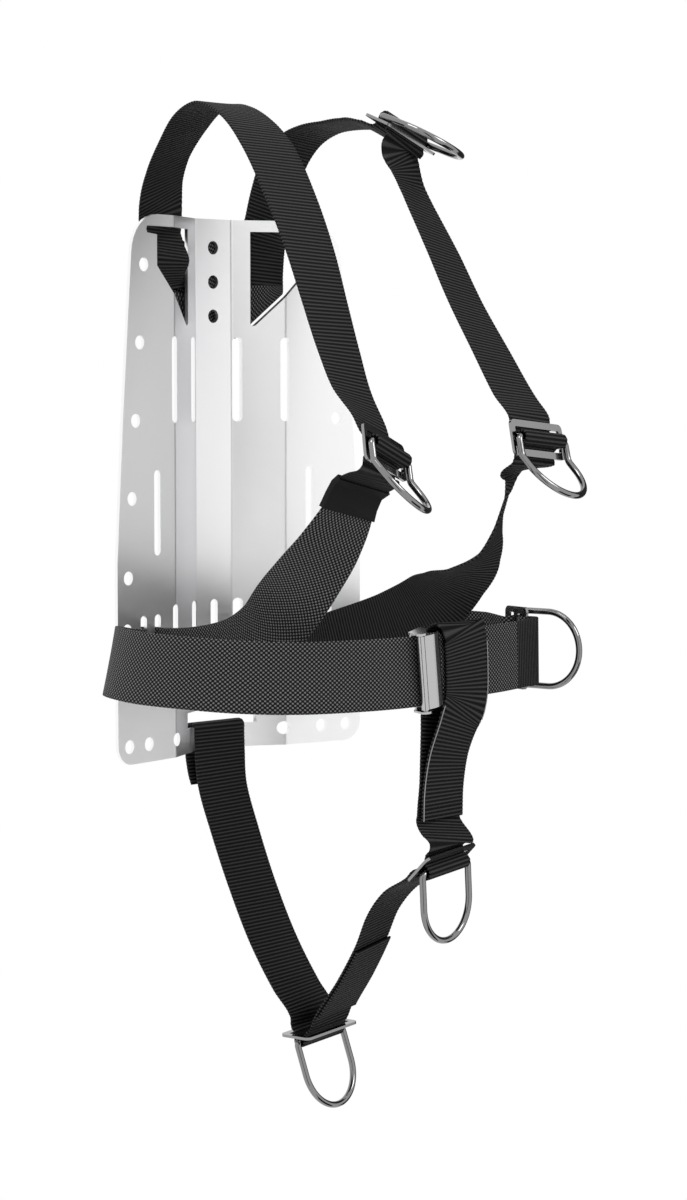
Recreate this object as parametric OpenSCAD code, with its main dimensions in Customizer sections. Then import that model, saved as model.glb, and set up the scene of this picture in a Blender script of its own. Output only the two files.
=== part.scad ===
// Diving backplate with a webbing harness.
// Frame: the origin is the middle one of the three bolt holes at the top of the plate, on its rear face.
// +Z is up, -Y is the diver's side and +X is the diver's left. All lengths are in millimetres.

/* [Backplate] */
// Thickness of the plate's sheet
plate_t = 3; // [2:0.5:4]
// Height of the plate's top edge above the origin
plate_top = 46.5; // [44:0.5:52]
// Height of the plate's bottom edge, below the origin
plate_bottom = -350; // [-370:1:-346]
// Half width of the flat centre panel
panel_half = 18; // [17:0.5:19]
// Half width at the bends between the walls and the wings
wall_half = 55; // [53:0.5:57]
// Depth of the channel between the centre panel and the wings
channel_h = 20; // [16:0.5:22]
// Forward angle of the wings
wing_angle = 11; // [8:0.5:13]
// Half width of the plate at its bottom
plate_half = 121; // [119:1:126]
// Diameter of the round holes
hole_d = 10; // [7:0.5:11]
// Width of the upright slots
slot_w = 7; // [6:0.5:8]

/* [Webbing] */
// Width of the webbing
web_w = 50; // [48:0.5:50.5]
// Thickness of the webbing
web_t = 2.2; // [1.8:0.1:2.4]
// Longest step between the rings of a webbing's mesh
web_step = 9; // [6:1:14]

/* [Rings and slides] */
// Diameter of the rings' wire
wire_d = 4.8; // [4:0.2:5]
// Half width of a ring, from its middle to the middle of the wire
ring_half = 27.9; // [27.8:0.1:29]
// Length of a slide
slide_w = 62; // [60:1:66]
// Height of a slide
slide_h = 26; // [24:1:27]
// Thickness of a slide's sheet
slide_t = 2; // [1.6:0.2:2]
// Bend of the chest rings
ring_bend = 30; // [20:5:40]

/* [Buckle] */
// Distance between the ears of the buckle
ear_gap = 54; // [53.5:0.5:56]
// Diameter of the buckle's pin
pin_d = 4; // [3:0.5:5]
// Reach of the lever past its pin
lever_l = 25; // [22:1:28]

/* [Hidden] */

black = [0.09, 0.09, 0.1];
steel = [0.72, 0.73, 0.75];
satin = [0.55, 0.56, 0.58];
sheet = [0.82, 0.83, 0.85];

// ---------- directions and stations ----------

// A width direction from its turn about Z and its tilt above the horizontal
function across(yaw, tilt) = [cos(yaw) * cos(tilt), sin(yaw) * cos(tilt), sin(tilt)];
function unit(v) = v / norm(v);
function level(yaw) = [sin(yaw), -cos(yaw), 0];

// A ring station: [middle of the ring's bar, yaw, tilt, pitch, swing of the ring].
// The pitch is the angle of the slide below the horizontal, looking forward.
// The swing is the ring's angle from the slide's outward normal, positive along the slide.
st_shoulder = [[75.5, -127.5, 109.5], 8, -18, 22, 88];
st_chest_r = [[-76, -266, -120], 18, -17, 76, 88];
st_chest_l = [[76, -265, -114], 7, -5, 76, 88];
st_hip = [[164, -165, -273], 80, -90, 90, 73];
st_front = [[29, -217, -418], 9, 4, 135, 45];
st_rear = [[13, -104, -554], 10, 2, 180, -18];
// Height of a ring's bar above the middle plane of its slide
bar_h = 4;

function st_w(s) = across(s[1], s[2]);
function st_f(s) = level(s[1]);
function st_d(s) = cross(st_w(s), st_f(s));
function st_t(s) = st_f(s) * cos(s[3]) + st_d(s) * sin(s[3]);
function st_n(s) = st_f(s) * sin(s[3]) - st_d(s) * cos(s[3]);
// A point at t along the slide and n above it, as a control point of a webbing
function at(s, t, n, w = web_w) =
    let (p = s[0] + st_t(s) * t + st_n(s) * (n - bar_h)) [p.x, p.y, p.z, s[1], s[2], w];
// The webbing's way through the slide and over the ring's bar
hump_r = 4.25;
function hump(s) = concat(
    [at(s, -8.2, -4.4, web_w - 4), at(s, -hump_r, -0.6, web_w - 1.5), at(s, -hump_r, bar_h)],
    [for (a = [150:-30:30]) at(s, hump_r * cos(a), bar_h + hump_r * sin(a))],
    [at(s, hump_r, bar_h), at(s, hump_r, -0.6, web_w - 1.5), at(s, 8.2, -4.4, web_w - 4)]
);

// ---------- webbing routes ----------
// Control points are [x, y, z, yaw, tilt] of the middle line and of the width direction,
// with the width as a sixth value where the webbing is curled narrower.

// Half turn behind a wing, from the inner slot of a pair to the outer one
turn_r = 8;
function slot_turn(side) = [for (a = [180:-30:0])
    let (u = turn_r * cos(a), v = turn_r * sin(a))
    [side * (84 + u * cos(wing_angle) + v * sin(wing_angle)),
     -25.2 - u * sin(wing_angle) + v * cos(wing_angle), -277, 90, -89]];

right_shoulder = [
    [-52, -1.5, -8, 0, 0, 49], [-53, -4, -2, 2, 0, 43], [-53.5, -9, 4, 4, 0, 40], [-53.5, -16, 14, 5, 0, 40],
    [-53, -9.5, 27, 6, 0, 41], [-53, -4.5, 38, 7, 0, 43],
    [-52, -4, 46, 10, 12], [-58, -12, 64.5, 9, 18], [-62, -24, 82, 8, 18], [-66, -45, 101.5, 5, 14],
    [-70, -69, 117, 3, 8], [-72, -94, 120.5, 3, 0], [-73, -121, 109.5, 1, -2], [-74, -144, 89, -3, -3],
    [-76, -171, 50, -1, -4], [-77, -190, 15, 3, -4], [-77, -204, -19, 7, -4], [-76, -217, -53, 10, -5],
    [-76, -230, -80, 14, -6], [-76, -246, -100, 17, -13],
];
right_chest = [
    at(st_chest_r, 15, -5.6), [-86, -245, -146.5, 10, -17], [-91, -240.5, -162.5, 5, -17],
    [-94, -226, -185, -8, -22], [-92, -201.5, -208.5, -28, -26], [-88, -178, -228, -46, -38],
    [-84, -150, -249.5, -66, -56], [-80, -115, -265, -80, -74], [-77, -72, -274, -86, -84],
    [-76, -40, -277, -90, -89],
];
right_waist = [
    [-93, -34, -277, -90, -89], [-100, -39, -276.5, 200, -87], [-114, -41.5, -275, 195, -83],
    [-132, -47, -272, 190, -78], [-148, -60, -270, 182, -75], [-158, -82, -270, 180, -76],
    [-161, -110, -271, 185, -79], [-154, -145, -272, 200, -82], [-134, -177, -274, 215, -84],
    [-100, -202, -275.5, 240, -86], [-55, -216, -276, 260, -88], [-18, -221, -276, 270, -89],
    [8, -221.5, -275.5, 270, -89], [35, -217.7, -275, 270, -89], [62, -213.9, -274.5, 270, -89],
];

left_shoulder = [
    [50, 1.3, -1, 0, 0], [50.5, 1, 8, 2, 0], [52, -0.5, 28, 4, 0], [55, -2.5, 46, 6, -2], [60, -6, 70, 4, -4],
    [64, -12, 91, 4, -4], [67, -25, 106, 4, -2], [70, -43, 114, 5, -1], [72, -66, 116, 6, -2],
    [73, -88, 115, 7, -6], at(st_shoulder, -18, -5.4),
];
left_front = [
    at(st_shoulder, 7.6, -10, 44), [74, -130.5, 83, 17, -7], [76, -134, 71, 19, -7], [77, -142, 57, 19, -6],
    [78, -165, 21, 15, -5], [78, -188, -16, 13, -4], [77, -214, -51, 10, -3], [76, -239, -84, 7, -2],
    [76, -252, -98, 7, -3],
];
left_chest = [
    at(st_chest_l, 15, -5.6), [71, -243, -139, 32, 0], [68, -239, -155, 40, 4], [65, -234, -173, 38, 6],
    [65, -225, -190, 30, 4], [67, -208, -205, 14, -8], [74.5, -181, -220, -8, -26],
    [82, -146, -239, -45, -58], [83, -104, -256, -70, -77], [79, -64, -269, -82, -84],
    [76, -40, -276, -90, -88],
];
left_hip = [
    [93, -34, -277, -90, -89], [100, -39, -276.5, -40, -89], [114, -41.5, -276, -40, -89],
    [131, -47, -275, -40, -89], [147, -60, -274, 0, -89], [157, -82, -273.5, 0, -89],
    [161, -108, -273, 0, -89], [161.5, -132, -273, 0, -89],
];
left_waist = [
    [155, -180, -273, 0, -89], [156.5, -185.5, -273, 0, -89], [155, -190, -273, 0, -89],
    [149, -193, -273, 270, -88], [128, -199.5, -273.5, 270, -89], [100, -205.8, -274, 270, -89],
    [64, -210.4, -274.5, 270, -89], [38, -214.1, -275, 0, -87],
];

// The buckle stands across the belt: u runs along the belt, n outward and w down the buckle.
buckle_at = [8, -221.5, -275];
buckle_yaw = 8;
buckle_lean = 7;
rod_u = 2;
rod_n = -6.8;
rod_d = 3;
wrap_r = 3.3;
function on_buckle(u, n) =
    let (p = buckle_at + [cos(buckle_yaw), sin(buckle_yaw), 0] * u + level(buckle_yaw) * n)
    [p.x, p.y, p.z, buckle_yaw, buckle_lean - 90];
rod_wrap = concat(
    [on_buckle(12, rod_n + wrap_r)],
    [for (a = [90:30:270]) on_buckle(rod_u + wrap_r * cos(a), rod_n + wrap_r * sin(a))],
    [on_buckle(6, rod_n - wrap_r)]
);

// The crotch webbing runs from the sewn end of its belt loop, over the belt and down to the plate.
loop_front = [
    [31.5, -211.6, -384, 9, 0], [32, -212, -362, 9, 0], [34.5, -214.5, -338, 9, 0], [41, -219, -314, 8, 0],
    [47, -219.6, -300, 8, 0], [48, -219.5, -275, 8, 0], [45.5, -219.8, -253, 8, 0], [44, -219, -248, 8, 0],
    [43.7, -213.5, -245, 8, 0],
];
loop_back = [
    [43.4, -206, -248, 8, 0], [42.5, -205.2, -254, 8, 0], [40.5, -205.2, -275, 8, 0],
    [37.5, -205.5, -300, 8, 0], [34.5, -207.5, -325, 9, 0], [32, -208.9, -355, 9, 0],
    [31, -208.4, -384, 9, 2], at(st_front, -16, -5),
];
crotch_mid = [
    [26.5, -198, -426, 12, -1], [22.5, -179, -438, 17, -3], [20.5, -163.5, -456, 19, -3],
    [19, -152, -480, 19, -2], [17, -137, -506, 17, -1], [14.5, -118, -534, 13, 1],
];
crotch_back = [
    [11.5, -96, -536, 8, 1], [8.5, -83, -519, 5, 0], [5.5, -62, -488, 4, -1], [3.5, -41, -449, 4, -1],
    [2, -24, -411, 3, -1], [0.5, -11.5, -377, 2, -1], [0, -9.2, -354, 0, 0], [0, -8.6, -338, 0, 0],
    [0, -8.4, -332, 0, 0], [0, -6.2, -329.8, 0, 0], [0, -0.8, -329.8, 0, 0], [0, 1.9, -332, 0, 0],
    [0, 2.2, -338, 0, 0],
    [0, 2, -352, 0, 0], [0, -1.5, -368, 0, 0], [0, -4.5, -375, 0, 0],
];

// ---------- webbing as a swept band ----------

// One stretch of a centripetal Catmull-Rom curve
function knot(a, b) = max(0.1, sqrt(norm(b - a)));
function curve(p0, p1, p2, p3, u) =
    let (
        t1 = knot(p0, p1),
        t2 = t1 + knot(p1, p2),
        t3 = t2 + knot(p2, p3),
        t = t1 + (t2 - t1) * u,
        a1 = (t1 - t) / t1 * p0 + t / t1 * p1,
        a2 = (t2 - t) / (t2 - t1) * p1 + (t - t1) / (t2 - t1) * p2,
        a3 = (t3 - t) / (t3 - t2) * p2 + (t - t2) / (t3 - t2) * p3,
        b1 = (t2 - t) / t2 * a1 + t / t2 * a2,
        b2 = (t3 - t) / (t3 - t1) * a2 + (t - t1) / (t3 - t1) * a3
    )
    (t2 - t) / (t2 - t1) * b1 + (t - t1) / (t2 - t1) * b2;
function spot(c) = [c[0], c[1], c[2]];
function wide(c) = len(c) > 5 ? c[5] : web_w;
// How many steps lead from control point i to the next one
function steps(c, i) = max(1, ceil(norm(spot(c[i + 1]) - spot(c[i])) / web_step));
// The points, width directions and widths along a route
function samples(c) =
    let (last = len(c) - 1)
    concat(
        [for (i = [0:last - 1])
            let (
                p1 = spot(c[i]),
                p2 = spot(c[i + 1]),
                p0 = i > 0 ? spot(c[i - 1]) : 2 * p1 - p2,
                p3 = i < last - 1 ? spot(c[i + 2]) : 2 * p2 - p1,
                n = steps(c, i),
                w1 = across(c[i][3], c[i][4]),
                w2 = across(c[i + 1][3], c[i + 1][4])
            )
            for (k = [0:n - 1])
                let (u = k / n)
                [curve(p0, p1, p2, p3, u), w1 * (1 - u) + w2 * u, wide(c[i]) * (1 - u) + wide(c[i + 1]) * u]],
        [[spot(c[last]), across(c[last][3], c[last][4]), wide(c[last])]]
    );
// Number of the sample that lies at control point k
function sample_at(c, k, i = 0) = i >= k ? 0 : steps(c, i) + sample_at(c, k, i + 1);
// Rings of a band: [middle, half width vector, thickness direction]
function rings(s) =
    [for (i = [0:len(s) - 1])
        let (
            a = s[max(i - 1, 0)][0],
            b = s[min(i + 1, len(s) - 1)][0],
            t = unit(b - a),
            n = unit(cross(t, s[i][1])),
            w = cross(n, t)
        )
        [s[i][0], w * s[i][2] / 2, n]];
function part_of(list, a, b) = [for (i = [a:b]) list[i]];
function corners(r, grow, thick) =
    let (h = r[1] + unit(r[1]) * grow, n = r[2] * thick / 2)
    [r[0] + h + n, r[0] - h + n, r[0] - h - n, r[0] + h - n];

module band(r, grow = 0, thick = web_t) {
    m = len(r);
    points = [for (q = r) each corners(q, grow, thick)];
    sides = [for (i = [0:m - 2]) for (k = [0:3])
        let (a = 4 * i + k, b = 4 * i + (k + 1) % 4)
        each [[a, a + 4, b], [b, a + 4, b + 4]]];
    ends = [[0, 1, 2], [0, 2, 3], [4 * m - 4, 4 * m - 2, 4 * m - 3], [4 * m - 4, 4 * m - 1, 4 * m - 2]];
    polyhedron(points, concat(sides, ends));
}

// The band behind the plate and its fold up into the shoulder strap.
// x is the strap's distance from the middle, rise the band's slope and end the band's length.
// y1 is the fold's front layer and y2 its rear layer.
fold_z = -23;
fold_out = 1.3;
function back_band(side, x, rise, y1, y2, end) =
    let (
        along = [-side * cos(rise), 0, sin(rise)],
        crease = unit(along + [0, 0, -1]),
        half = crease * -side * web_w / 2 / abs(crease.x),
        out = unit([0, 0, -1] - along),
        up = [sin(rise) * side, 0, cos(rise)] * side * web_w / 2,
        mid = [side * x, 0, fold_z]
    )
    [
        [mid + along * end + [0, y2, 0], [0, 0, side * web_w / 2 / cos(rise)], [0, -1, 0]],
        [mid + along * 22 + [0, y2, 0], up, [0, -1, 0]],
        [mid + [0, y2, 0], half, [0, -1, 0]],
        [mid + [0, (y1 + y2) / 2, 0] + out * fold_out, half, -out],
        [mid + [0, y1, 0], half, [0, 1, 0]],
    ];

function backwards(v) = [for (i = [len(v) - 1:-1:0]) v[i]];
all_right = concat(right_shoulder, hump(st_chest_r), right_chest, slot_turn(-1), right_waist);
all_left = concat(left_shoulder, hump(st_shoulder), left_front, hump(st_chest_l), left_chest, slot_turn(1),
    left_hip, hump(st_hip), left_waist, rod_wrap);
all_crotch = concat(loop_front, loop_back, hump(st_front), crotch_mid, hump(st_rear), crotch_back);
hump_n = len(hump(st_rear));
turn_n = len(slot_turn(1));
rings_right = rings(samples(all_right));
rings_left = rings(samples(all_left));
rings_crotch = rings(samples(all_crotch));
// Control points at which the right-hand webbing is divided
r1 = 6;
r2 = len(right_shoulder);
r3 = r2 + hump_n + len(right_chest) - 1;
r4 = r3 + turn_n + 1;
r5 = len(all_right) - 1;
// Control points at which the left-hand webbing is divided
l1 = 3;
l2 = len(left_shoulder);
l3 = l2 + hump_n + len(left_front);
l4 = l3 + hump_n + len(left_chest) - 1;
l5 = l4 + turn_n + 1;
l6 = l5 + len(left_hip);
l7 = len(all_left) - 1;
// Control points at which the crotch webbing is divided
c1 = len(loop_front) - 1;
c2 = len(loop_front) + len(loop_back);
c3 = c2 + hump_n + len(crotch_mid);
c4 = len(all_crotch) - 1;

module right_part(a, b) {
    color(black) band(part_of(rings_right, sample_at(all_right, a), sample_at(all_right, b)));
}
module left_part(a, b) {
    color(black) band(part_of(rings_left, sample_at(all_left, a), sample_at(all_left, b)));
}
module crotch_part(a, b) {
    color(black) band(part_of(rings_crotch, sample_at(all_crotch, a), sample_at(all_crotch, b)));
}
module back_webbing_right() {
    color(black) band(concat(
        back_band(-1, 52, 29, -1.5, 1.3, 85),
        part_of(rings_right, 0, sample_at(all_right, r1))
    ));
}
module back_webbing_left() {
    color(black) band(concat(
        back_band(1, 50, 20, 1.3, 4.1, 80),
        part_of(rings_left, 0, sample_at(all_left, l1))
    ));
}
module shoulder_webbing_right() { right_part(r1, r2); }
module chest_webbing_right() { right_part(r2, r3); }
module slot_webbing_right() { right_part(r3, r4); }
module waist_webbing_right() { right_part(r4, r5); }
module shoulder_webbing_left_rear() { left_part(l1, l2); }
module shoulder_webbing_left_front() { left_part(l2, l3); }
module chest_webbing_left() { left_part(l3, l4); }
module slot_webbing_left() { left_part(l4, l5); }
module hip_webbing_left() { left_part(l5, l6); }
module waist_webbing_left() { left_part(l6, l7); }
module crotch_belt_loop() { crotch_part(0, c1); }
module crotch_riser() { crotch_part(c1, c2); }
module crotch_webbing_front() { crotch_part(c2, c3); }
module crotch_webbing_rear() { crotch_part(c3, c4); }

// The free end of the crotch webbing lies on the front of the rising stretch
tail_gap = 2.6;
module crotch_tail() {
    first = sample_at(all_crotch, c3 - 3);
    last = sample_at(all_crotch, c3 - 1);
    list = part_of(rings_crotch, first, last);
    color(black) band([for (q = list) [q[0] + q[2] * tail_gap, q[1], q[2]]]);
}

// The sleeve that holds the chest webbing together below its ring
keeper_wall = 0.9;
keeper_gap = 0.15;
module sleeve(list, gap, wall) {
    m = len(list);
    points = [for (q = list) each concat(
        corners(q, gap + wall, web_t + 2 * (gap + wall)),
        corners(q, gap, web_t + 2 * gap)
    )];
    sides = [for (i = [0:m - 2]) for (k = [0:3])
        let (a = 8 * i + k, b = 8 * i + (k + 1) % 4)
        each [[a, a + 8, b], [b, a + 8, b + 8], [a + 4, b + 4, a + 12], [b + 4, b + 12, a + 12]]];
    ends = [for (k = [0:3])
        let (j = (k + 1) % 4, e = 8 * m - 8)
        each [[k, j, j + 4], [k, j + 4, k + 4], [e + k, e + j + 4, e + j], [e + k, e + k + 4, e + j + 4]]];
    polyhedron(points, concat(sides, ends));
}
module webbing_keeper() {
    first = sample_at(all_right, r2 + hump_n + 1) - 1;
    last = sample_at(all_right, r2 + hump_n + 2);
    color([0.13, 0.13, 0.14]) sleeve(part_of(rings_right, first, last), keeper_gap, keeper_wall);
}

// ---------- backplate ----------

bend_r = 6;
// Points of an arc of radius r about c, from angle a to angle b
function arc(c, r, a, b, n) = [for (i = [0:n]) let (g = a + (b - a) * i / n) c + r * [cos(g), sin(g)]];
wall_a = atan(channel_h / (wall_half - panel_half));
// Half of the sheet's front line, as seen from above, with rounded bends
function bend_points(p, a_in, a_out, r, n = 5) =
    let (
        turn = (a_out - a_in) / 2,
        back = abs(r * tan(turn)),
        start = p - back * [cos(a_in), sin(a_in)],
        side = turn > 0 ? 1 : -1,
        c = start + r * side * [-sin(a_in), cos(a_in)]
    )
    arc(c, r, a_in - 90 * side, a_out - 90 * side, n);

// The plate's section from above: the front line, and the rear line one sheet behind it
wing_len = 90;
function half_front() = concat(
    bend_points([panel_half, -plate_t], 0, -wall_a, bend_r),
    bend_points([wall_half, -plate_t - channel_h], -wall_a, -wing_angle, bend_r + plate_t),
    [[wall_half, -plate_t - channel_h] + wing_len * [cos(wing_angle), -sin(wing_angle)]]
);
function half_rear() =
    let (
        e1 = plate_t * tan(wall_a / 2),
        e2 = plate_t / cos(wing_angle),
        p1 = [panel_half + e1, 0],
        // where the rear lines of the wall and the wing meet
        k1 = p1,
        m1 = -tan(wall_a),
        k2 = [wall_half, -plate_t - channel_h + e2],
        m2 = -tan(wing_angle),
        x = (k2.y - k1.y + m1 * k1.x - m2 * k2.x) / (m1 - m2),
        p2 = [x, k1.y + m1 * (x - k1.x)]
    )
    concat(
        bend_points(p1, 0, -wall_a, bend_r + plate_t),
        bend_points(p2, -wall_a, -wing_angle, bend_r),
        [k2 + wing_len * [cos(wing_angle), -sin(wing_angle)]]
    );
function mirrored(v) = [for (i = [len(v) - 1:-1:0]) [-v[i].x, v[i].y]];

// The plate's outline from the front, with rounded corners
function half_outline() = concat(
    arc([74, plate_top - 30], 30, 90, 3, 8),
    [[114, -102], [plate_half, -205]],
    arc([plate_half - 15, plate_bottom + 15], 15, 0, -90, 6)
);

// Round holes of a wing: [x, z]
wing_holes = [[90, 10], [95, -46], [100, -102], [104.5, -158], [109, -215], [110.5, -253]];
foot_holes = [[108.5, -337], [86.5, -337], [53.5, -337]];
// Upright slots: [x, middle z, length]
slots = [
    [22, -72.5, 63], [55, -72.5, 63], [76, -169, 62], [22, -268.5, 63], [55, -268.5, 63],
    [76, -274, 62], [92, -274, 62],
];
bolt_pitch = 25.4;

module across_plate(x, z) { translate([x, 30, z]) rotate([90, 0, 0]) children(); }
drill = 100;
module hole(x, z) { across_plate(x, z) cylinder(h = drill, d = hole_d, $fn = 48); }
module slot(x, z, length) {
    half = length / 2 - slot_w / 2;
    across_plate(x, z) {
        translate([-slot_w / 2, -half, 0]) cube([slot_w, 2 * half, drill]);
        translate([0, half, 0]) cylinder(h = drill, d = slot_w, $fn = 48);
        translate([0, -half, 0]) cylinder(h = drill, d = slot_w, $fn = 48);
    }
}
window = [
    [31, 38], [86, 38], [87, 35.5], [86, 33], [75, 32], [75, 9.7], [34.5, -32], [32.5, -32.5], [31, -31],
];
crotch_half = 34.5;
crotch_z = [-332, -320];

module plate_blank() {
    intersection() {
        translate([0, 0, plate_bottom - 1])
            linear_extrude(plate_top - plate_bottom + 2)
                polygon(concat(mirrored(half_front()), half_front(), backwards(half_rear()),
                    backwards(mirrored(half_rear()))));
        translate([0, 50, 0]) rotate([90, 0, 0])
            linear_extrude(150) polygon(concat(mirrored(half_outline()), half_outline()));
    }
}
module backplate() {
    color(sheet)
        difference() {
            plate_blank();
            for (k = [-1:1]) hole(0, k * bolt_pitch);
            for (side = [-1, 1]) {
                for (p = wing_holes) hole(side * p.x, p.y);
                for (p = foot_holes) hole(side * p.x, p.y);
                for (p = slots) slot(side * p.x, p.y, p.z);
                mirror([side < 0 ? 1 : 0, 0, 0]) translate([0, 30, 0]) rotate([90, 0, 0])
                    linear_extrude(drill) polygon(window);
            }
            slot(0, -268.5, 63);
            translate([-crotch_half, -70, crotch_z[0]])
                cube([2 * crotch_half, drill, crotch_z[1] - crotch_z[0]]);
        }
}

// ---------- slides and rings ----------

// Places things on a slide's bar: X across it, Y along the webbing and Z inward
module at_station(s) {
    w = st_w(s);
    t = st_t(s);
    n = st_n(s);
    p = s[0];
    multmatrix([
        [w.x, t.x, -n.x, p.x],
        [w.y, t.y, -n.y, p.y],
        [w.z, t.z, -n.z, p.z],
        [0, 0, 0, 1],
    ]) children();
}
function round_box(w, h, r) = concat(
    arc([w / 2 - r, h / 2 - r], r, 0, 90, 5), arc([r - w / 2, h / 2 - r], r, 90, 180, 5),
    arc([r - w / 2, r - h / 2], r, 180, 270, 5), arc([w / 2 - r, r - h / 2], r, 270, 360, 5)
);
slide_bar = 5;
slide_slot = 5.5;
slide_slot_w = 53;
module slide(s) {
    color(steel) at_station(s)
        translate([0, 0, bar_h - slide_t / 2])
            difference() {
                linear_extrude(slide_t) polygon(round_box(slide_w, slide_h, 4));
                for (k = [-1, 1])
                    translate([0, k * (slide_bar + slide_slot) / 2, -1])
                        linear_extrude(slide_t + 2) polygon(round_box(slide_slot_w, slide_slot, 1.2));
            }
}
module slide_chest_right() { slide(st_chest_r); }
module slide_chest_left() { slide(st_chest_l); }
module slide_shoulder_left() { slide(st_shoulder); }
module slide_hip_left() { slide(st_hip); }
module slide_crotch_front() { slide(st_front); }
module slide_crotch_rear() { slide(st_rear); }

corner_r = 4;
leg_l = 25;
bent_leg_l = 18;
short_leg = 8;
bend_turn_r = 9;
module wire(length) { cylinder(h = length, d = wire_d, $fn = 32); }
module wire_arc(r, a) { rotate_extrude(angle = a, $fn = 96) translate([r, 0]) circle(d = wire_d, $fn = 32); }
// The ring's bar lies along X and its legs run along +Y; bend leans the far end towards -Z
module ring_body(bend) {
    lean_l = bend > 0 ? short_leg : leg_l - corner_r;
    translate([-ring_half + corner_r, 0, 0]) rotate([0, 90, 0]) wire(2 * (ring_half - corner_r));
    for (side = [-1, 1]) mirror([side < 0 ? 1 : 0, 0, 0]) {
        translate([ring_half - corner_r, corner_r, 0]) rotate([0, 0, -90]) wire_arc(corner_r, 90);
        translate([ring_half, corner_r, 0]) rotate([-90, 0, 0]) wire(lean_l);
    }
    translate([0, corner_r + lean_l, 0])
        if (bend > 0) {
            for (side = [-1, 1])
                translate([side * ring_half, 0, -bend_turn_r])
                    rotate([0, -90, 0]) wire_arc(bend_turn_r, bend);
            translate([0, 0, -bend_turn_r]) rotate([-bend, 0, 0]) translate([0, 0, bend_turn_r])
                ring_end(bent_leg_l - corner_r - lean_l);
        } else {
            ring_end(0);
        }
}
module ring_end(straight) {
    if (straight > 0)
        for (side = [-1, 1]) translate([side * ring_half, 0, 0]) rotate([-90, 0, 0]) wire(straight);
    translate([0, straight, 0]) wire_arc(ring_half, 180);
}
// A ring at its station, swung about its bar from the slide's outward normal
module ring(s, bend = 0) {
    color(steel) at_station(s) rotate([s[4] - 90, 0, 0]) ring_body(bend);
}
module ring_chest_right() { ring(st_chest_r, ring_bend); }
module ring_chest_left() { ring(st_chest_l, ring_bend); }
module ring_shoulder_left() { ring(st_shoulder); }
module ring_hip_left() { ring(st_hip); }
module ring_crotch_front() { ring(st_front); }
module ring_crotch_rear() { ring(st_rear); }

// ---------- buckle ----------

ear_t = 1.5;
pin_u = -13.5;
pin_n = 4.3;
lever_w = 52;
lever_t = 1.5;
barrel_d = 5.8;
// Places the buckle: X along the belt, Y outward and Z down
module at_buckle() {
    u = [cos(buckle_yaw), sin(buckle_yaw), 0];
    n = level(buckle_yaw);
    k = unit([-sin(buckle_lean), 0, cos(buckle_lean)]);
    w = unit(k - n * (k * n));
    v = cross(w, n);
    p = buckle_at;
    multmatrix([
        [v.x, n.x, -w.x, p.x],
        [v.y, n.y, -w.y, p.y],
        [v.z, n.z, -w.z, p.z],
        [0, 0, 0, 1],
    ]) children();
}
module upright(length, d) { translate([0, 0, -length / 2]) cylinder(h = length, d = d, $fn = 48); }
module buckle_frame() {
    color(satin) at_buckle() difference() {
        union() {
            for (side = [-1, 1]) mirror([0, 0, side < 0 ? 1 : 0]) translate([0, 0, ear_gap / 2])
                linear_extrude(ear_t)
                    polygon(concat(arc([pin_u, pin_n], 4.5, 30, 180, 8), arc([-12, -4], 2.5, 180, 270, 4),
                        arc([rod_u + 1, rod_n], 3, 270, 430, 6)));
            translate([-13, -5.6, -ear_gap / 2 - ear_t / 2]) cube([8, 1.6, ear_gap + ear_t]);
        }
        translate([pin_u, pin_n, 0]) upright(70, pin_d);
        translate([rod_u, rod_n, 0]) upright(70, rod_d);
    }
}
module buckle_rod() {
    color(satin) at_buckle() translate([rod_u, rod_n, 0]) upright(ear_gap + 2 * ear_t, rod_d);
}
module buckle_pin() {
    color(satin) at_buckle() translate([pin_u, pin_n, 0]) upright(ear_gap + 2 * ear_t, pin_d);
}
// The lever's section: a crowned plate over its barrel
crown_r = 22;
crown_at = [-3.8, -14.2];
module lever_section() {
    spread = asin(lever_l / 2 / crown_r);
    polygon(concat(
        arc(crown_at, crown_r, 90 + spread, 90 - spread, 14),
        arc(crown_at, crown_r - lever_t, 90 - spread, 90 + spread, 14)
    ));
}
module buckle_lever() {
    color(satin) at_buckle() difference() {
        union() {
            translate([0, 0, -lever_w / 2]) linear_extrude(lever_w) lever_section();
            translate([pin_u, pin_n, 0]) upright(lever_w, barrel_d);
        }
        translate([pin_u, pin_n, 0]) upright(70, pin_d + 0.1);
    }
}

backplate();
back_webbing_right();
shoulder_webbing_right();
chest_webbing_right();
slot_webbing_right();
waist_webbing_right();
back_webbing_left();
shoulder_webbing_left_rear();
shoulder_webbing_left_front();
chest_webbing_left();
slot_webbing_left();
hip_webbing_left();
waist_webbing_left();
crotch_belt_loop();
crotch_riser();
crotch_webbing_front();
crotch_webbing_rear();
crotch_tail();
slide_chest_right();
slide_chest_left();
slide_shoulder_left();
slide_hip_left();
slide_crotch_front();
slide_crotch_rear();
ring_chest_right();
ring_chest_left();
ring_shoulder_left();
ring_hip_left();
ring_crotch_front();
ring_crotch_rear();
buckle_frame();
buckle_rod();
buckle_pin();
buckle_lever();
webbing_keeper();
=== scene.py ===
"""Looks for a diving backplate with its webbing harness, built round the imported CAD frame."""
import math

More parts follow.
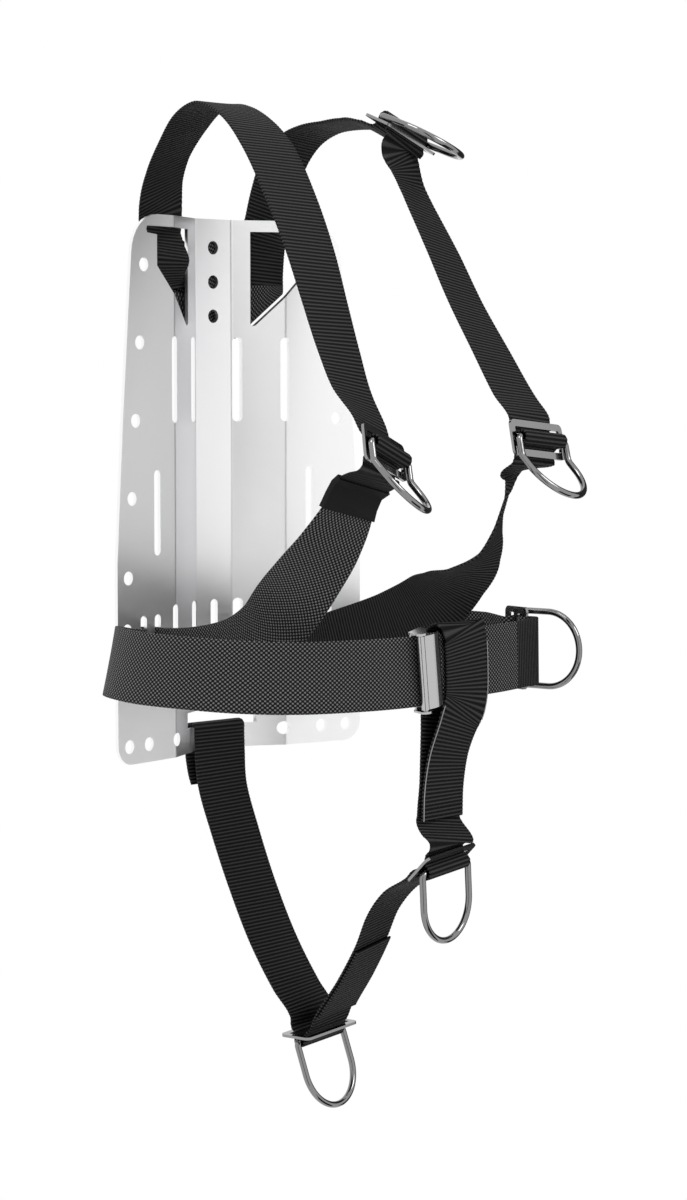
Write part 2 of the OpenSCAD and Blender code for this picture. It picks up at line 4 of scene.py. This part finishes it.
import bpy
import numpy as np
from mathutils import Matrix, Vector


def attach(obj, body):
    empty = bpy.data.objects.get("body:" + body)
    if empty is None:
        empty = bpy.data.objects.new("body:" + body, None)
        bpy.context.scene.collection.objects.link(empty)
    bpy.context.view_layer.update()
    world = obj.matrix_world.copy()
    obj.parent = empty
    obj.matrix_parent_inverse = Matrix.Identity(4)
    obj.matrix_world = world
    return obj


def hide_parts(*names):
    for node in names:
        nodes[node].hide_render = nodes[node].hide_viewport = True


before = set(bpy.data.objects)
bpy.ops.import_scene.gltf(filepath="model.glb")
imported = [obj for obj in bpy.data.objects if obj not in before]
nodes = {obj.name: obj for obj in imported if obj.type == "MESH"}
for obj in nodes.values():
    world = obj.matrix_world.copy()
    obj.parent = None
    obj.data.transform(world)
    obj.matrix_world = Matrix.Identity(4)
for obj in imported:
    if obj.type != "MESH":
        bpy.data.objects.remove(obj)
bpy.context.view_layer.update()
MM = 0.001
WEB_W, WEB_T = 50.0, 2.2
RIB = 2.7               # pitch of the webbing's ribs, mm
DOT_U, DOT_V = 0.0034, 0.0030   # pitch of the twill's picks along and across, m
YARN = 0.0012           # pitch of the yarns across a rib, m
STEP = 0.6              # spacing of the swept sections, mm
EDGE = 24.2             # a seam's distance from the webbing's middle, mm
WIRE_R = 2.4            # half the ring wire, mm


# ---------- camera, light and surroundings ----------

def make_camera():
    data = bpy.data.cameras.new("camera")
    data.lens = 88.75
    data.sensor_width = 36.0
    data.clip_end = 30.0
    cam = bpy.data.objects.new("camera", data)
    cam.location = (-1.4703, -1.6655, -0.0725)
    cam.rotation_euler = (math.radians(90 - 4.262), 0, math.radians(-44))
    bpy.context.collection.objects.link(cam)
    bpy.context.scene.camera = cam


def make_light(name, at, aim, size, power):
    data = bpy.data.lights.new(name, "AREA")
    data.size = size
    data.energy = power
    light = bpy.data.objects.new(name, data)
    light.location = at
    light.rotation_euler = (Vector(aim) - Vector(at)).to_track_quat("-Z", "Y").to_euler()
    bpy.context.collection.objects.link(light)


def make_card(name, at, aim, width, height, grey):
    """A dark card beside the object, seen only in the metal's reflections."""
    mesh = bpy.data.meshes.new(name)
    w, h = width / 2, height / 2
    mesh.from_pydata([(-w, -h, 0), (w, -h, 0), (w, h, 0), (-w, h, 0)], [], [(0, 1, 2, 3)])
    card = bpy.data.objects.new(name, mesh)
    card.location = at
    card.rotation_euler = (Vector(aim) - Vector(at)).to_track_quat("Z", "Y").to_euler()
    mat, tree, shader = new_material(name)
    shader.inputs["Base Color"].default_value = (grey, grey, grey, 1)
    shader.inputs["Roughness"].default_value = 1.0
    mesh.materials.append(mat)
    card.visible_camera = False
    card.visible_shadow = False
    bpy.context.collection.objects.link(card)


def make_world():
    world = bpy.data.worlds.new("studio")
    world.use_nodes = True
    world.node_tree.nodes["Background"].inputs["Color"].default_value = (1, 1, 1, 1)
    world.node_tree.nodes["Background"].inputs["Strength"].default_value = 1.0
    bpy.context.scene.world = world
    bpy.context.scene.view_settings.view_transform = "Standard"


# ---------- materials ----------

def new_material(name):
    mat = bpy.data.materials.new(name)
    mat.use_nodes = True
    tree = mat.node_tree
    return mat, tree, tree.nodes["Principled BSDF"]


def math_node(tree, operation, a, b=None):
    node = tree.nodes.new("ShaderNodeMath")
    node.operation = operation
    for k, v in enumerate((a, b)):
        if v is None:
            continue
        if isinstance(v, (int, float)):
            node.inputs[k].default_value = v
        else:
            tree.links.new(v, node.inputs[k])
    return node.outputs[0]


def ramp(tree, factor, stops):
    node = tree.nodes.new("ShaderNodeValToRGB")
    while len(node.color_ramp.elements) < len(stops):
        node.color_ramp.elements.new(0.5)
    for element, (at, grey) in zip(node.color_ramp.elements, stops):
        element.position = at
        element.color = (grey, grey, grey, 1)
    tree.links.new(factor, node.inputs[0])
    return node.outputs[0]


def add_bump(tree, shader, height, distance, strength=1.0):
    bump = tree.nodes.new("ShaderNodeBump")
    bump.inputs["Distance"].default_value = distance
    bump.inputs["Strength"].default_value = strength
    tree.links.new(height, bump.inputs["Height"])
    tree.links.new(bump.outputs[0], shader.inputs["Normal"])


def stretched_noise(tree, scale, stretch):
    """Noise drawn out along one axis of the row frame, as rolling or grinding leaves it."""
    coord = tree.nodes.new("ShaderNodeTexCoord")
    mapping = tree.nodes.new("ShaderNodeMapping")
    mapping.inputs["Scale"].default_value = stretch
    noise = tree.nodes.new("ShaderNodeTexNoise")
    noise.inputs["Scale"].default_value = scale
    noise.inputs["Detail"].default_value = 4
    tree.links.new(coord.outputs["Object"], mapping.inputs[0])
    tree.links.new(mapping.outputs[0], noise.inputs["Vector"])
    return noise.outputs[0]


def metal(name, grey, rough, grain=None, amount=0.0):
    mat, tree, shader = new_material(name)
    shader.inputs["Base Color"].default_value = (grey, grey, grey * 1.01, 1)
    shader.inputs["Metallic"].default_value = 1.0
    shader.inputs["Roughness"].default_value = rough
    if grain:
        noise = stretched_noise(tree, 60, grain)
        spread = ramp(tree, noise, [(0.3, rough - amount), (0.7, rough + amount)])
        tree.links.new(spread, shader.inputs["Roughness"])
        add_bump(tree, shader, noise, 0.00006, 0.5)
    return mat


def webbing_material(name, groove_shade, top, dots=False):
    """Black webbing. UV runs along the webbing in u and across it in v, in metres.

    The second and third arguments are the greys of the rib's grooves and tops: painted shade in the grooves
    and a painted highlight on the tops. dots gives the twill's checker of picks instead of ribs, painted the
    same way."""
    mat, tree, shader = new_material(name)
    shader.inputs["Roughness"].default_value = 0.62
    shader.inputs["Specular IOR Level"].default_value = 0.12
    uv = tree.nodes.new("ShaderNodeUVMap")
    split = tree.nodes.new("ShaderNodeSeparateXYZ")
    tree.links.new(uv.outputs[0], split.inputs[0])
    along, over = split.outputs[0], split.outputs[1]
    if dots:
        a = math_node(tree, "SINE", math_node(tree, "MULTIPLY", along, 2 * math.pi / DOT_U))
        b = math_node(tree, "SINE", math_node(tree, "MULTIPLY", over, 2 * math.pi / DOT_V))
        product = math_node(tree, "MULTIPLY", a, b)
        weave = math_node(tree, "ADD", math_node(tree, "MULTIPLY", product, 0.5), 0.5)
        stops, depth = [(0.0, groove_shade), (0.5, groove_shade), (0.72, top), (1.0, top * 1.3)], 0.0005
    else:
        wave = math_node(tree, "SINE", math_node(tree, "MULTIPLY", along, math.pi / (RIB * MM)))
        rib = math_node(tree, "ABSOLUTE", wave)
        yarn = math_node(tree, "SINE", math_node(tree, "MULTIPLY", over, 2 * math.pi / YARN))
        weave = math_node(tree, "ADD", math_node(tree, "MULTIPLY", yarn, 0.06), rib)
        stops, depth = [(0.0, groove_shade), (0.6, groove_shade * 1.5), (0.88, top), (1.0, top * 1.5)], 0.0003
    # painted shade and highlight: the weave's height is mapped to grey, darker in the grooves and lighter on
    # the raised tops
    tree.links.new(ramp(tree, weave, stops), shader.inputs["Base Color"])
    add_bump(tree, shader, weave, depth, 0.8)
    return mat


# ---------- directions and ring stations ----------

def unit(v):
    return v / np.linalg.norm(v)


def across(yaw, tilt):
    y, t = math.radians(yaw), math.radians(tilt)
    return np.array([math.cos(y) * math.cos(t), math.sin(y) * math.cos(t), math.sin(t)])


def level(yaw):
    y = math.radians(yaw)
    return np.array([math.sin(y), -math.cos(y), 0.0])


class Station:
    """A ring's bar: its middle, the slide's directions and the ring's swing."""

    def __init__(self, p, yaw, tilt, pitch, swing):
        self.p, self.yaw, self.tilt = np.array(p, float), yaw, tilt
        a, s = math.radians(pitch), math.radians(swing)
        self.w = across(yaw, tilt)
        f = level(yaw)
        d = np.cross(self.w, f)
        self.t = f * math.cos(a) + d * math.sin(a)
        self.n = f * math.sin(a) - d * math.cos(a)
        self.v = self.n * math.cos(s) + self.t * math.sin(s)

    def at(self, t, n, w=WEB_W):
        q = self.p + self.t * t + self.n * (n - 4)
        return [*q, self.yaw, self.tilt, w]

    def hump(self):
        r = 4.25
        before = [self.at(-8.2, -4.4, 46), self.at(-r, -0.6, 48.5), self.at(-r, 4)]
        turns = [math.radians(a) for a in range(150, 29, -30)]
        over = [self.at(r * math.cos(a), 4 + r * math.sin(a)) for a in turns]
        return before + over + [self.at(r, 4), self.at(r, -0.6, 48.5), self.at(8.2, -4.4, 46)]


SHOULDER = Station([75.5, -127.5, 109.5], 8, -18, 22, 88)
CHEST_R = Station([-76, -266, -120], 18, -17, 76, 88)
CHEST_L = Station([76, -265, -114], 7, -5, 76, 88)
HIP = Station([164, -165, -273], 80, -90, 90, 73)
FRONT = Station([29, -217, -418], 9, 4, 135, 45)
REAR = Station([13, -104, -554], 10, 2, 180, -18)


# ---------- webbing routes: x, y, z, yaw and tilt of the width, and the width ----------

def slot_turn(side):
    g = math.radians(11)
    out = []
    for a in range(180, -1, -30):
        u, v = 8 * math.cos(math.radians(a)), 8 * math.sin(math.radians(a))
        out.append([side * (84 + u * math.cos(g) + v * math.sin(g)),
                    -25.2 - u * math.sin(g) + v * math.cos(g), -277, 90, -89])
    return out


right_shoulder = [
    [-52, -1.5, -8, 0, 0, 49], [-53, -4, -2, 2, 0, 43], [-53.5, -9, 4, 4, 0, 40], [-53.5, -16, 14, 5, 0, 40],
    [-53, -9.5, 27, 6, 0, 41], [-53, -4.5, 38, 7, 0, 43],
    [-52, -4, 46, 10, 12], [-58, -12, 64.5, 9, 18], [-62, -24, 82, 8, 18], [-66, -45, 101.5, 5, 14],
    [-70, -69, 117, 3, 8], [-72, -94, 120.5, 3, 0], [-73, -121, 109.5, 1, -2], [-74, -144, 89, -3, -3],
    [-76, -171, 50, -1, -4], [-77, -190, 15, 3, -4], [-77, -204, -19, 7, -4], [-76, -217, -53, 10, -5],
    [-76, -230, -80, 14, -6], [-76, -246, -100, 17, -13],
]
right_chest = [
    CHEST_R.at(15, -5.6), [-86, -245, -146.5, 10, -17], [-91, -240.5, -162.5, 5, -17],
    [-94, -226, -185, -8, -22], [-92, -201.5, -208.5, -28, -26], [-88, -178, -228, -46, -38],
    [-84, -150, -249.5, -66, -56], [-80, -115, -265, -80, -74], [-77, -72, -274, -86, -84],
    [-76, -40, -277, -90, -89],
]
right_waist = [
    [-93, -34, -277, -90, -89], [-100, -39, -276.5, 200, -87], [-114, -41.5, -275, 195, -83],
    [-132, -47, -272, 190, -78], [-148, -60, -270, 182, -75], [-158, -82, -270, 180, -76],
    [-161, -110, -271, 185, -79], [-154, -145, -272, 200, -82], [-134, -177, -274, 215, -84],
    [-100, -202, -275.5, 240, -86], [-55, -216, -276, 260, -88], [-18, -221, -276, 270, -89],
    [8, -221.5, -275.5, 270, -89], [35, -217.7, -275, 270, -89], [62, -213.9, -274.5, 270, -89],
]
left_shoulder = [
    [50, 1.3, -1, 0, 0], [50.5, 1, 8, 2, 0], [52, -0.5, 28, 4, 0], [55, -2.5, 46, 6, -2], [60, -6, 70, 4, -4],
    [64, -12, 91, 4, -4], [67, -25, 106, 4, -2], [70, -43, 114, 5, -1], [72, -66, 116, 6, -2],
    [73, -88, 115, 7, -6], SHOULDER.at(-18, -5.4),
]
left_front = [
    SHOULDER.at(7.6, -10, 44), [74, -130.5, 83, 17, -7], [76, -134, 71, 19, -7], [77, -142, 57, 19, -6],
    [78, -165, 21, 15, -5], [78, -188, -16, 13, -4], [77, -214, -51, 10, -3], [76, -239, -84, 7, -2],
    [76, -252, -98, 7, -3],
]
left_chest = [
    CHEST_L.at(15, -5.6), [71, -243, -139, 32, 0], [68, -239, -155, 40, 4], [65, -234, -173, 38, 6],
    [65, -225, -190, 30, 4], [67, -208, -205, 14, -8], [74.5, -181, -220, -8, -26],
    [82, -146, -239, -45, -58], [83, -104, -256, -70, -77], [79, -64, -269, -82, -84],
    [76, -40, -276, -90, -88],
]
left_hip = [
    [93, -34, -277, -90, -89], [100, -39, -276.5, -40, -89], [114, -41.5, -276, -40, -89],
    [131, -47, -275, -40, -89], [147, -60, -274, 0, -89], [157, -82, -273.5, 0, -89],
    [161, -108, -273, 0, -89], [161.5, -132, -273, 0, -89],
]
left_waist = [
    [155, -180, -273, 0, -89], [156.5, -185.5, -273, 0, -89], [155, -190, -273, 0, -89],
    [149, -193, -273, 270, -88], [128, -199.5, -273.5, 270, -89], [100, -205.8, -274, 270, -89],
    [64, -210.4, -274.5, 270, -89], [38, -214.1, -275, 0, -87],
]


def on_buckle(u, n):
    y = math.radians(8)
    p = np.array([8, -221.5, -275]) + np.array([math.cos(y), math.sin(y), 0]) * u + level(8) * n
    return [*p, 8, -83]


rod_wrap = [on_buckle(12, -3.5)]
rod_wrap += [on_buckle(2 + 3.3 * math.cos(math.radians(a)), -6.8 + 3.3 * math.sin(math.radians(a)))
             for a in range(90, 271, 30)]
rod_wrap += [on_buckle(6, -10.1)]
loop_front = [
    [31.5, -211.6, -384, 9, 0], [32, -212, -362, 9, 0], [34.5, -214.5, -338, 9, 0], [41, -219, -314, 8, 0],
    [47, -219.6, -300, 8, 0], [48, -219.5, -275, 8, 0], [45.5, -219.8, -253, 8, 0], [44, -219, -248, 8, 0],
    [43.7, -213.5, -245, 8, 0],
]
loop_back = [
    [43.4, -206, -248, 8, 0], [42.5, -205.2, -254, 8, 0], [40.5, -205.2, -275, 8, 0],
    [37.5, -205.5, -300, 8, 0], [34.5, -207.5, -325, 9, 0], [32, -208.9, -355, 9, 0],
    [31, -208.4, -384, 9, 2], FRONT.at(-16, -5),
]
crotch_mid = [
    [26.5, -198, -426, 12, -1], [22.5, -179, -438, 17, -3], [20.5, -163.5, -456, 19, -3],
    [19, -152, -480, 19, -2], [17, -137, -506, 17, -1], [14.5, -118, -534, 13, 1],
]
crotch_back = [
    [11.5, -96, -536, 8, 1], [8.5, -83, -519, 5, 0], [5.5, -62, -488, 4, -1], [3.5, -41, -449, 4, -1],
    [2, -24, -411, 3, -1], [0.5, -11.5, -377, 2, -1], [0, -9.2, -354, 0, 0], [0, -8.6, -338, 0, 0],
    [0, -8.4, -332, 0, 0], [0, -6.2, -329.8, 0, 0], [0, -0.8, -329.8, 0, 0], [0, 1.9, -332, 0, 0],
    [0, 2.2, -338, 0, 0], [0, 2, -352, 0, 0], [0, -1.5, -368, 0, 0], [0, -4.5, -375, 0, 0],
]


# ---------- webbing as a swept, ribbed band ----------

def sample(route):
    """Points, width directions, widths and control number along a centripetal Catmull-Rom curve."""
    spots = [np.array(c[:3], float) for c in route]
    wides = [across(c[3], c[4]) for c in route]
    sizes = [c[5] if len(c) > 5 else WEB_W for c in route]
    last = len(route) - 1
    points, widths, halves, controls = [], [], [], []
    for i in range(last):
        p1, p2 = spots[i], spots[i + 1]
        p0 = spots[i - 1] if i else 2 * p1 - p2
        p3 = spots[i + 2] if i < last - 1 else 2 * p2 - p1
        k = [max(0.1, math.sqrt(np.linalg.norm(b - a))) for a, b in ((p0, p1), (p1, p2), (p2, p3))]
        t1, t2 = k[0], k[0] + k[1]
        t3 = t2 + k[2]
        count = max(2, math.ceil(np.linalg.norm(p2 - p1) / STEP))
        for j in range(count):
            u = j / count
            t = t1 + (t2 - t1) * u
            a1 = (t1 - t) / t1 * p0 + t / t1 * p1
            a2 = (t2 - t) / (t2 - t1) * p1 + (t - t1) / (t2 - t1) * p2
            a3 = (t3 - t) / (t3 - t2) * p2 + (t - t2) / (t3 - t2) * p3
            b1 = (t2 - t) / t2 * a1 + t / t2 * a2
            b2 = (t3 - t) / (t3 - t1) * a2 + (t - t1) / (t3 - t1) * a3
            points.append((t2 - t) / (t2 - t1) * b1 + (t - t1) / (t2 - t1) * b2)
            widths.append(wides[i] * (1 - u) + wides[i + 1] * u)
            halves.append((sizes[i] * (1 - u) + sizes[i + 1] * u) / 2)
            controls.append(i + u)
    points.append(spots[last])
    widths.append(wides[last])
    halves.append(sizes[last] / 2)
    controls.append(float(last))
    return np.array(points), np.array(widths), np.array(halves), np.array(controls)


def frames(points, widths):
    """Orthogonal width and thickness directions along the band, eased over a few millimetres."""
    tangent = np.gradient(points, axis=0)
    tangent /= np.linalg.norm(tangent, axis=1)[:, None] + 1e-12
    normal = np.cross(tangent, widths)
    normal /= np.linalg.norm(normal, axis=1)[:, None] + 1e-12
    wide = np.cross(normal, tangent)
    for _ in range(4):
        wide[1:-1] = (wide[:-2] + wide[1:-1] * 2 + wide[2:]) / 4
    wide /= np.linalg.norm(wide, axis=1)[:, None]
    normal = np.cross(tangent, wide)
    normal /= np.linalg.norm(normal, axis=1)[:, None] + 1e-12
    return wide, normal


def band(name, points, wide, normal, halves, materials, which, ribs, replaced):
    """A closed band. which gives each ring's material, and ribs its rib height in mm."""
    step = np.linalg.norm(np.diff(points, axis=0), axis=1)
    run = np.concatenate([[0.0], np.cumsum(step)])
    wave = np.abs(np.sin(math.pi * run / RIB)) ** 0.7
    count = len(points)
    # the cross-section: a flat face, a rounded edge, and back
    profile = [(x, 1.0) for x in np.linspace(-0.965, 0.965, 9)]
    profile += [(0.992, 0.62), (1.0, 0.0), (0.992, -0.62)]
    profile += [(x, -1.0) for x in np.linspace(0.965, -0.965, 9)]
    profile += [(-0.992, -0.62), (-1.0, 0.0), (-0.992, 0.62)]
    around = len(profile)
    x = np.array([p[0] for p in profile])
    z = np.array([p[1] for p in profile])
    half = halves - 0.15 + (wave - 0.6) * np.minimum(ribs, 0.5) * 0.9
    thick = WEB_T / 2 - 0.28 + (wave - 0.5) * ribs
    verts = (points[:, None, :] + wide[:, None, :] * (half[:, None] * x[None, :])[..., None]
             + normal[:, None, :] * (thick[:, None] * z[None, :])[..., None]) * MM
    verts = verts.reshape(-1, 3)
    ring = np.arange(count - 1)[:, None] * around
    k = np.arange(around)[None, :]
    j = (k + 1) % around
    quads = np.stack([ring + k, ring + around + k, ring + around + j, ring + j], -1).reshape(-1, 4)
    mesh = bpy.data.meshes.new(name)
    first_cap = list(range(around))
    last_cap = list(range(count * around - 1, (count - 1) * around - 1, -1))
    faces = quads.tolist() + [first_cap, last_cap]
    mesh.from_pydata(verts.tolist(), [], faces)
    layer = mesh.uv_layers.new(name="UVMap")
    v_along = np.repeat(run, around) * MM
    v_over = np.tile(x, count) * np.repeat(halves, around) * MM
    loops = np.empty(len(mesh.loops), dtype=np.int64)
    mesh.loops.foreach_get("vertex_index", loops)
    layer.data.foreach_set("uv", np.stack([v_along[loops], v_over[loops]], 1).astype(np.float32).ravel())
    for m in materials:
        mesh.materials.append(m)
    index = np.concatenate([np.repeat(which[:-1], around), [which[0], which[-1]]]).astype(np.int32)
    mesh.polygons.foreach_set("material_index", index)
    mesh.polygons.foreach_set("use_smooth", np.ones(len(mesh.polygons), dtype=bool))
    mesh.update()
    obj = bpy.data.objects.new(name, mesh)
    bpy.context.collection.objects.link(obj)
    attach(obj, "harness")
    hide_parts(*replaced)


def webbing(name, route, stretches, materials, replaced):
    """stretches lists [first control, material number, rib height] from the route's start."""
    points, widths, halves, controls = sample(route)
    wide, normal = frames(points, widths)
    which = np.zeros(len(points))
    ribs = np.zeros(len(points))
    for first, number, height in stretches:
        which[controls >= first] = number
        ribs[controls >= first] = height
    kernel = np.ones(9) / 9
    ribs = np.convolve(np.pad(ribs, 4, mode="edge"), kernel, mode="valid")
    band(name, points, wide, normal, halves, materials, which, ribs, replaced)
    return points, wide, normal, halves, controls


def back_band(name, side, x, rise, y1, y2, end, materials, node):
    """The band behind the plate and its fold up into the shoulder strap."""
    r = math.radians(rise)
    along = np.array([-side * math.cos(r), 0, math.sin(r)])
    crease = unit(along + np.array([0, 0, -1.0]))
    half = crease * -side / abs(crease[0])
    out = unit(np.array([0, 0, -1.0]) - along)
    up = np.array([math.sin(r) * side, 0, math.cos(r)]) * side
    mid = np.array([side * x, 0, -23.0])
    key = [
        (mid + along * end + [0, y2, 0], np.array([0, 0, side / math.cos(r)]), [0, -1, 0]),
        (mid + along * 22 + [0, y2, 0], up, [0, -1, 0]),
        (mid + [0, y2, 0], half, [0, -1, 0]),
        (mid + [0, (y1 + y2) / 2, 0] + out * 1.3, half, -out),
        (mid + [0, y1, 0], half, [0, 1, 0]),
        (np.array([side * x, y1, -8.0 if side < 0 else -1.0]), np.array([1.0, 0, 0]), [0, 1, 0]),
    ]
    points, wide, normal, halves = [], [], [], []
    for (p, h, n), (q, g, m) in zip(key, key[1:]):
        count = max(3, int(np.linalg.norm(q - p) / STEP))
        for k in range(count + (q is key[-1][0])):
            u = k / count
            w = h * (1 - u) + g * u
            points.append(p * (1 - u) + q * u)
            halves.append(np.linalg.norm(w) * WEB_W / 2)
            wide.append(unit(w))
            normal.append(unit(np.array(n, float) * (1 - u) + np.array(m, float) * u))
    points = np.array(points)
    band(name, points, np.array(wide), np.array(normal), np.array(halves), materials,
         np.zeros(len(points)), np.full(len(points), 0.12), [node])


def line(name, points, radius, material, cyclic=False):
    """A fine thread or wire along points in millimetres."""
    data = bpy.data.curves.new(name, "CURVE")
    data.dimensions = "3D"
    data.bevel_depth = radius * MM
    data.bevel_resolution = 6
    data.use_fill_caps = True
    spline = data.splines.new("POLY")
    spline.points.add(len(points) - 1)
    for q, p in zip(spline.points, points):
        q.co = (*[c * MM for c in p], 1)
    spline.use_cyclic_u = cyclic
    data.materials.append(material)
    obj = bpy.data.objects.new(name, data)
    bpy.context.collection.objects.link(obj)
    return obj


def ring(name, s, material, bend=0):
    """A D-ring of 4.8 mm wire: a bar, two legs and a half circle, its far end leant out by bend."""
    half, corner = 27.9, 4.0
    u, v, n = s.w, s.v, np.cross(s.w, s.v)
    path = [(0.0, 0.0, 0.0), (half - corner, 0.0, 0.0)]
    path += [(half - corner + corner * math.sin(a), corner - corner * math.cos(a), 0)
             for a in np.linspace(0.15, math.pi / 2, 8)]
    if bend:
        b, r = math.radians(bend), 9.0
        path += [(half, 12 + r * math.sin(a), -r + r * math.cos(a)) for a in np.linspace(0, b, 10)]
        lie, base, straight = (math.cos(b), -math.sin(b)), (12 + r * math.sin(b), -r + r * math.cos(b)), 6.0
    else:
        lie, base, straight = (1.0, 0.0), (25.0, 0.0), 0.0
    path += [(half * math.cos(a), base[0] + lie[0] * (straight + half * math.sin(a)),
              base[1] + lie[1] * (straight + half * math.sin(a))) for a in np.linspace(0, math.pi / 2, 33)]
    left = [(-a, b, c) for a, b, c in path[1:-1][::-1]]
    local = path + left
    points = [s.p + u * a + v * b + n * c for a, b, c in local]
    obj = line(name, points, WIRE_R, material, cyclic=True)
    obj.data.bevel_resolution = 10
    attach(obj, "ring_" + name)
    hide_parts("ring_" + name)


def dress(node, material, width, angle=35):
    """Gives a CAD node its finish and softened edges."""
    obj = nodes[node]
    obj.data.materials.clear()
    obj.data.materials.append(material)
    bevel = obj.modifiers.new("edges", "BEVEL")
    bevel.width = width * MM
    bevel.segments = 2
    bevel.limit_method = "ANGLE"
    bevel.angle_limit = math.radians(angle)
    bevel.harden_normals = False


make_world()
make_camera()
make_card("card_right", (1.6, 0.02, -0.1), (0, 0.02, -0.1), 1.7, 3.2, 0.04)
make_card("card_low", (0.5, -1.2, -1.5), (0.1, -0.2, 0), 1.2, 1.2, 0.03)
make_card("card_front", (-1.75, -1.95, -0.1), (0, 0, -0.1), 0.7, 3.0, 0.02)
make_light("key", (0.7, -1.9, 1.3), (0, -0.1, -0.2), 0.9, 14)
make_light("top", (-0.7, -0.2, 1.7), (0, -0.1, -0.1), 0.8, 9)

plate = metal("plate_steel", 0.93, 0.33, (1, 1, 40), 0.05)
# the rings' grey of 0.25 is darker than steel: a painted dark reflection of the surroundings, with the lamps
# giving the white highlights
polished_painted_dark = metal("polished_steel", 0.25, 0.07)
# the slides' grey of 0.3 is darker than steel: a painted dark reflection of the surroundings
slide_steel = metal("slide_steel", 0.3, 0.12)
satin = metal("satin_steel", 0.5, 0.16)
# each webbing's two greys are painted shade in its grooves and a painted highlight on its tops
ribbed = webbing_material("webbing_ribbed", 0.0015, 0.028)
twill = webbing_material("webbing_twill", 0.003, 0.14, dots=True)
smooth = webbing_material("webbing_smooth", 0.008, 0.014)
thread, _, thread_shader = new_material("thread")
thread_shader.inputs["Base Color"].default_value = (0.3, 0.3, 0.31, 1)
thread_shader.inputs["Roughness"].default_value = 0.8

dress("backplate", plate, 0.45)
for key in ("chest_right", "chest_left", "shoulder_left", "hip_left", "crotch_front", "crotch_rear"):
    dress("slide_" + key, slide_steel, 0.3)
for key in ("buckle_frame", "buckle_rod", "buckle_pin", "buckle_lever"):
    dress(key, satin, 0.25)
dress("webbing_keeper", smooth, 0.3)

rings = (
    ("chest_right", CHEST_R, 30), ("chest_left", CHEST_L, 30), ("shoulder_left", SHOULDER, 0),
    ("hip_left", HIP, 0), ("crotch_front", FRONT, 0), ("crotch_rear", REAR, 0),
)
for key, where, bend in rings:
    ring(key, where, polished_painted_dark, bend)

HUMP, TURN = len(REAR.hump()), 7
looks = [ribbed, twill, smooth]
n1 = len(right_shoulder) + HUMP
n2 = n1 + len(right_chest)
webbing("webbing_right",
        right_shoulder + CHEST_R.hump() + right_chest + slot_turn(-1) + right_waist,
        [[0, 0, 0.3], [len(right_shoulder), 0, 0.2], [n1, 2, 0.06], [n1 + 1.6, 1, 0.16], [n2, 1, 0.12]],
        looks,
        ["shoulder_webbing_right", "chest_webbing_right", "slot_webbing_right", "waist_webbing_right"])
back_band("back_right", -1, 52, 29, -1.5, 1.3, 85, [twill], "back_webbing_right")

m1 = len(left_shoulder) + HUMP
m2 = m1 + len(left_front) + HUMP
m3 = m2 + len(left_chest) + TURN
m4 = m3 + len(left_hip) + HUMP
webbing("webbing_left", left_shoulder + SHOULDER.hump() + left_front + CHEST_L.hump() + left_chest
        + slot_turn(1) + left_hip + HIP.hump() + left_waist + rod_wrap,
        [[0, 0, 0.3], [m2 + 6, 0, 0.22], [m3, 1, 0.12], [m4, 0, 0.2], [m4 + 4.3, 1, 0.12]], looks,
        ["shoulder_webbing_left_rear", "shoulder_webbing_left_front", "chest_webbing_left",
         "slot_webbing_left", "hip_webbing_left", "waist_webbing_left"])
back_band("back_left", 1, 50, 20, 1.3, 4.1, 80, [twill], "back_webbing_left")

crotch = loop_front + loop_back + FRONT.hump() + crotch_mid + REAR.hump() + crotch_back
points, wide, normal, halves, controls = webbing(
    "webbing_crotch", crotch, [[0, 0, 0.28]], looks,
    ["crotch_belt_loop", "crotch_riser", "crotch_webbing_front", "crotch_webbing_rear"])
c3 = len(loop_front) + len(loop_back) + HUMP + len(crotch_mid)
tail = (controls >= c3 - 3) & (controls <= c3 - 1)
band("crotch_tail_looks", points[tail] + normal[tail] * 2.6, wide[tail], normal[tail], halves[tail],
     [ribbed], np.zeros(tail.sum()), np.full(tail.sum(), 0.1), ["crotch_tail"])

# seams: the loop's sewn end, and its two edges over the belt and the riser
loop = controls <= 5.6
front_sign = 1.0 if normal[loop][0][1] > 0 else -1.0
for name, rows, side in (("seam_belt", controls[loop] > 3.6, 1), ("seam_riser", controls[loop] < 3.4, -1)):
    q = points[loop][rows] + wide[loop][rows] * EDGE * side - normal[loop][rows] * front_sign * 1.2
    seam = line(name, q[::6], 0.35, thread)
    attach(seam, "harness")
for name, at in (("seam_end_low", 3.0), ("seam_end_high", 9.0)):
    here = int(np.argmin(np.abs(np.linalg.norm(points - points[0], axis=1)[:60] - at)))
    q = [points[here] + wide[here] * x - normal[here] * front_sign * 1.25 for x in np.linspace(-22, 22, 30)]
    seam = line(name, q, 0.3, ribbed)
    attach(seam, "harness")
